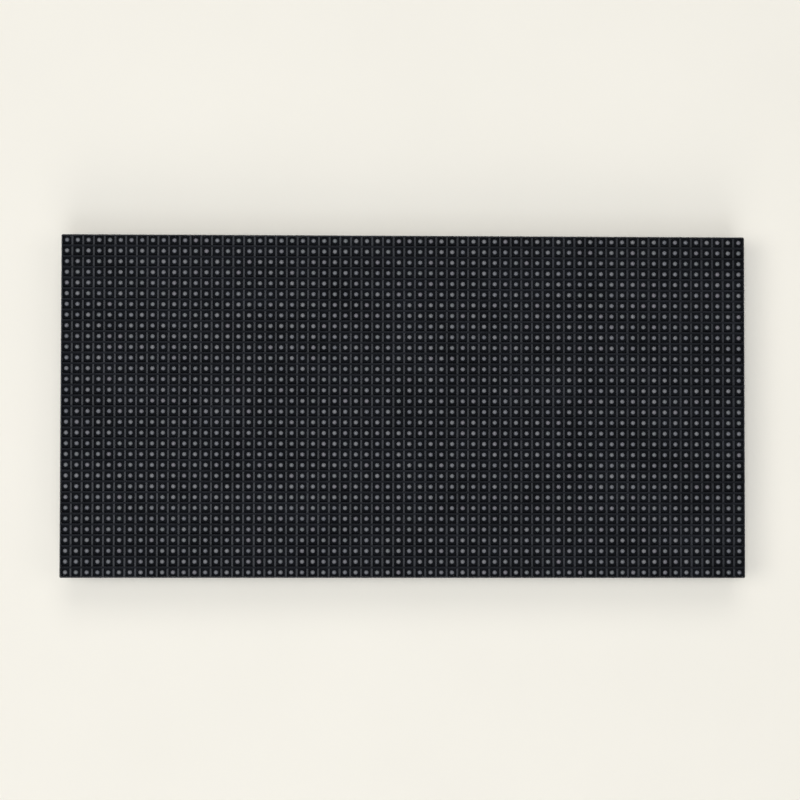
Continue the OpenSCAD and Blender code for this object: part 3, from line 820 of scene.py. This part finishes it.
for pieceName, part in chipParts.items():
    spots = []
    for k in range(leads["driver_ic"]["count"]):
        low, high = chipBoxes[f"driver_ic_{k + 1:02d}"]
        centre = (low + high) / 2
        inwardY = centre.y - math.copysign(chip["inward"] * mm, centre.y)
        spots.append({"at": (centre.x + part["side"] * mm, inwardY, boardRear)})
    scatterPiece(pieceName, chipShape(part["size"]), spots, part["material"], solderTin,
                 [part["node"]])
print("chip parts placed")

# bulk capacitors: drawn can with a rolled bead, black base with two cut corners, tinned tabs, stamped end
can = {"sides": 32, "radius": 3.15,
       "shoulder": ((0.62, 0), (0.4, 0.03), (0.2, 0.12), (0.06, 0.28), (0, 0.5)),
       "beadAt": 0.9, "bead": 0.24, "beadSoft": (0.1, 0.12),
       "baseHeight": 0.9, "baseSoft": (0.12, 0.97), "cut": 1.1, "tab": (0.9, 0.55, 0.16), "tabSink": 0.2,
       "stampFrom": 0.9, "stampMargin": 0.75, "stampSteps": 12, "stampProud": 0.015, "stampSink": 0.02}
canNodes = ["bulk_capacitor_01", "bulk_capacitor_02"]
canLow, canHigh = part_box(canNodes[0])
endZ, seatZ, canHalf = canLow.z / mm, canHigh.z / mm, (canHigh.x - canLow.x) / 2 / mm
canFootZ = seatZ - can["baseHeight"]


def canBodyShape():
    radius, bead, beadZ = can["radius"], can["bead"], canFootZ - can["beadAt"]
    softIn, softZ = can["beadSoft"]
    outline = [(radius - inset, endZ + z) for inset, z in can["shoulder"]]
    outline += [(radius, beadZ - bead), (radius - softIn, beadZ - softZ), (radius - bead, beadZ),
                (radius - softIn, beadZ + softZ), (radius, beadZ + bead), (radius, canFootZ)]
    return [skin([circle(r, z, can["sides"]) for r, z in outline], smooth=True)]


def canBaseShape():
    half, cut = canHalf, can["cut"]
    softZ, shrink = can["baseSoft"]
    plan = [(-half, -half), (half - cut, -half), (half, -half + cut), (half, half - cut), (half - cut, half),
            (-half, half)]
    levels = ((canFootZ, shrink), (canFootZ + softZ, 1.0), (seatZ, 1.0))
    return [skin([[(x * g, y * g, z) for x, y in plan] for z, g in levels])]


def canTabShape():
    reach, width, thick = can["tab"]
    root = canHalf - can["tabSink"]
    tabs = [sorted((way * root, way * (root + reach))) for way in (1, -1)]
    return [skin(boxRings((near, -width / 2, seatZ - thick), (far, width / 2, seatZ))) for near, far in tabs]


# stamped segment on the end of the can, over the negative lead
def canStampShape():
    reach, steps = can["radius"] - can["stampMargin"], can["stampSteps"]
    limit = math.acos(can["stampFrom"] / reach)
    turns = [math.pi - limit + 2 * limit * i / steps for i in range(steps + 1)]
    levels = (endZ - can["stampProud"], endZ + can["stampSink"])
    return [skin([[(reach * math.cos(t), reach * math.sin(t), z) for t in turns] for z in levels])]


canSpots = []
for name in canNodes:
    low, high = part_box(name)
    canSpots.append({"at": ((low.x + high.x) / 2, (low.y + high.y) / 2, 0.0)})
scatterPiece("canBodies", canBodyShape(), canSpots, canAluminium, replaced=canNodes)
scatterPiece("canBases", canBaseShape(), canSpots, canPhenolic)
scatterPiece("canTabs", canTabShape(), canSpots, solderTin)
scatterPiece("canStamps", canStampShape(), canSpots, stampInk)
print("cans:", len(canSpots))

# M3 threads in the mounting inserts: a three-sided ridge wound up the bore
thread = {"radius": 1.5, "depth": 0.25, "lead": 0.5, "perTurn": 20, "length": 4.6, "from": 0.2, "foot": 0.21,
          "crest": 0.05, "sink": 0.02, "insertRadius": 2.1}


def threadShape():
    rings, foot, crest = [], thread["foot"], thread["crest"]
    turns = int(thread["length"] / thread["lead"]) - 1
    out, inner = thread["radius"] + thread["sink"], thread["radius"] - thread["depth"]
    for i in range(turns * thread["perTurn"] + 1):
        turn = math.tau * i / thread["perTurn"]
        z = thread["from"] + thread["lead"] * (0.5 + i / thread["perTurn"])
        ridge = [(out, z - foot), (inner, z - crest), (inner, z + crest), (out, z + foot)]
        rings.append([(r * math.cos(turn), r * math.sin(turn), h) for r, h in ridge])
    return [skin(rings)]


insertLow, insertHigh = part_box("mount_inserts")
insertReach = thread["insertRadius"] * mm
threadSpots = [{"at": (x, y, 0.0)} for x in (insertLow.x + insertReach, 0.0, insertHigh.x - insertReach)
               for y in (insertLow.y + insertReach, insertHigh.y - insertReach)]
scatterPiece("insertThreads", threadShape(), threadSpots, turnedBrass)
print("threads:", len(threadSpots))

# the other nodes keep their CAD shape and get their real finish
finishes = {"led_board": boardMask, "rear_frame": framePolycarbonate, "input_header": headerPolyester,
            "output_header": headerPolyester, "input_pins": pinGold, "output_pins": pinGold,
            "power_header": powerNylon, "power_pins": pinTin, "mount_inserts": turnedBrass,
            "board_nuts": turnedBrass, "frame_screws": zincSteel}
for name in chipBoxes:
    finishes[name] = chipEpoxy
for name, material in finishes.items():
    for slot in nodes[name].material_slots:
        slot.material = material
for thing in stamps:
    bpy.data.objects.remove(thing)
print("finishes on", len(finishes), "CAD nodes")

# floor, world and lamps: a soft lamp overhead, a key lamp to the left, broad fill from the other sides
studio = {"floor": "#f4f0e7", "floorShade": "#efebe2", "floorSize": 9, "floorCloud": 60, "floorRough": 0.9,
          "drop": 0.2, "ambient": 0.04, "backdrop": "#f4f2ec", "warm": "#fffdf8", "cool": "#f6faff"}
lights = {"topLamp": {"at": (-0.22, 0.0, 2.4), "size": 0.7, "power": 21, "tint": "cool"},
          "leftLamp": {"at": (-1.21, 0.0, 2.19), "size": 1.2, "power": 16.5, "tint": "warm"},
          "rightLamp": {"at": (1.36, 0.0, 2.1), "size": 1.2, "power": 4.6, "tint": "warm"},
          "frontLamp": {"at": (0.0, -1.05, 2.25), "size": 1.1, "power": 9, "tint": "cool"},
          "lowLamp": {"at": (0.0, -2.05, 1.43), "size": 1.6, "power": 12, "tint": "warm"},
          "backLamp": {"at": (0.0, 1.4, 2.07), "size": 1.5, "power": 13, "tint": "warm"},
          "rearLamp": {"at": (0.0, -0.05, -0.85), "size": 2.0, "power": 16, "tint": "warm"}}


def makeFloor():
    bpy.ops.mesh.primitive_plane_add(size=studio["floorSize"], location=(0, 0, -studio["drop"] * mm))
    floor = bpy.context.object
    floor.name = "studioFloor"
    material, tree, surface, place = newMaterial("studioPaint")
    cloud = addNode(tree, "ShaderNodeTexNoise", {
        "Vector": place, "Scale": 1 / (studio["floorCloud"] * mm), "Detail": 3.0})
    tone = addNode(tree, "ShaderNodeMix", {
        0: cloud, 6: hexColour(studio["floor"]), 7: hexColour(studio["floorShade"])}, data_type="RGBA")
    setInputs(tree, surface, {
        "Base Color": tone.outputs[2], "Roughness": studio["floorRough"], "Specular IOR Level": 0.0})
    # seen from below the floor is clear, so that the rear of the panel can be looked at
    path = addNode(tree, "ShaderNodeLightPath").outputs["Is Camera Ray"]
    under = addNode(tree, "ShaderNodeNewGeometry").outputs["Backfacing"]
    clear = addNode(tree, "ShaderNodeMath", {0: path, 1: under}, operation="MULTIPLY")
    glass = addNode(tree, "ShaderNodeBsdfTransparent")
    both = addNode(tree, "ShaderNodeMixShader", {0: clear, 1: surface, 2: glass})
    setInputs(tree, tree.nodes["Material Output"], {"Surface": both})
    floor.data.materials.append(material)
    return floor


# a dim white world that the camera and reflections see as a plain backdrop
def makeWorld():
    world = bpy.data.worlds.new("studioWorld")
    scene.world = world
    world.use_nodes = True
    tree = world.node_tree
    ambient = tree.nodes["Background"]
    setInputs(tree, ambient, {"Color": (1, 1, 1, 1), "Strength": studio["ambient"]})
    seen = addNode(tree, "ShaderNodeBackground", {"Color": hexColour(studio["backdrop"]), "Strength": 1.0})
    ray = addNode(tree, "ShaderNodeLightPath").outputs
    plain = addNode(tree, "ShaderNodeMath", {
        0: ray["Is Camera Ray"], 1: ray["Is Glossy Ray"]}, operation="MAXIMUM")
    through = addNode(tree, "ShaderNodeMath", {0: plain, 1: ray["Is Transmission Ray"]}, operation="MAXIMUM")
    both = addNode(tree, "ShaderNodeMixShader", {0: through, 1: ambient, 2: seen})
    setInputs(tree, tree.nodes["World Output"], {"Surface": both})


def makeLights(floor):
    for name, light in lights.items():
        data = bpy.data.lights.new(name, "AREA")
        data.shape, data.size, data.energy = "DISK", light["size"], light["power"]
        data.color = hexColour(studio[light["tint"]])[:3]
        lampObject = bpy.data.objects.new(name, data)
        lampObject.location = light["at"]
        lampObject.rotation_euler = (-Vector(light["at"])).to_track_quat("-Z", "Y").to_euler()
        lampObject.visible_camera = False
        scene.collection.objects.link(lampObject)
    # the floor doesn't stop the lamp below it
    clearFloor = bpy.data.collections.new("clearForRearLamp")
    clearFloor.objects.link(floor)
    clearFloor.collection_objects[0].light_linking.link_state = "EXCLUDE"
    bpy.data.objects["rearLamp"].light_linking.blocker_collection = clearFloor


makeWorld()
makeLights(makeFloor())
scene.view_settings.view_transform = "Standard"
print("studio lit")
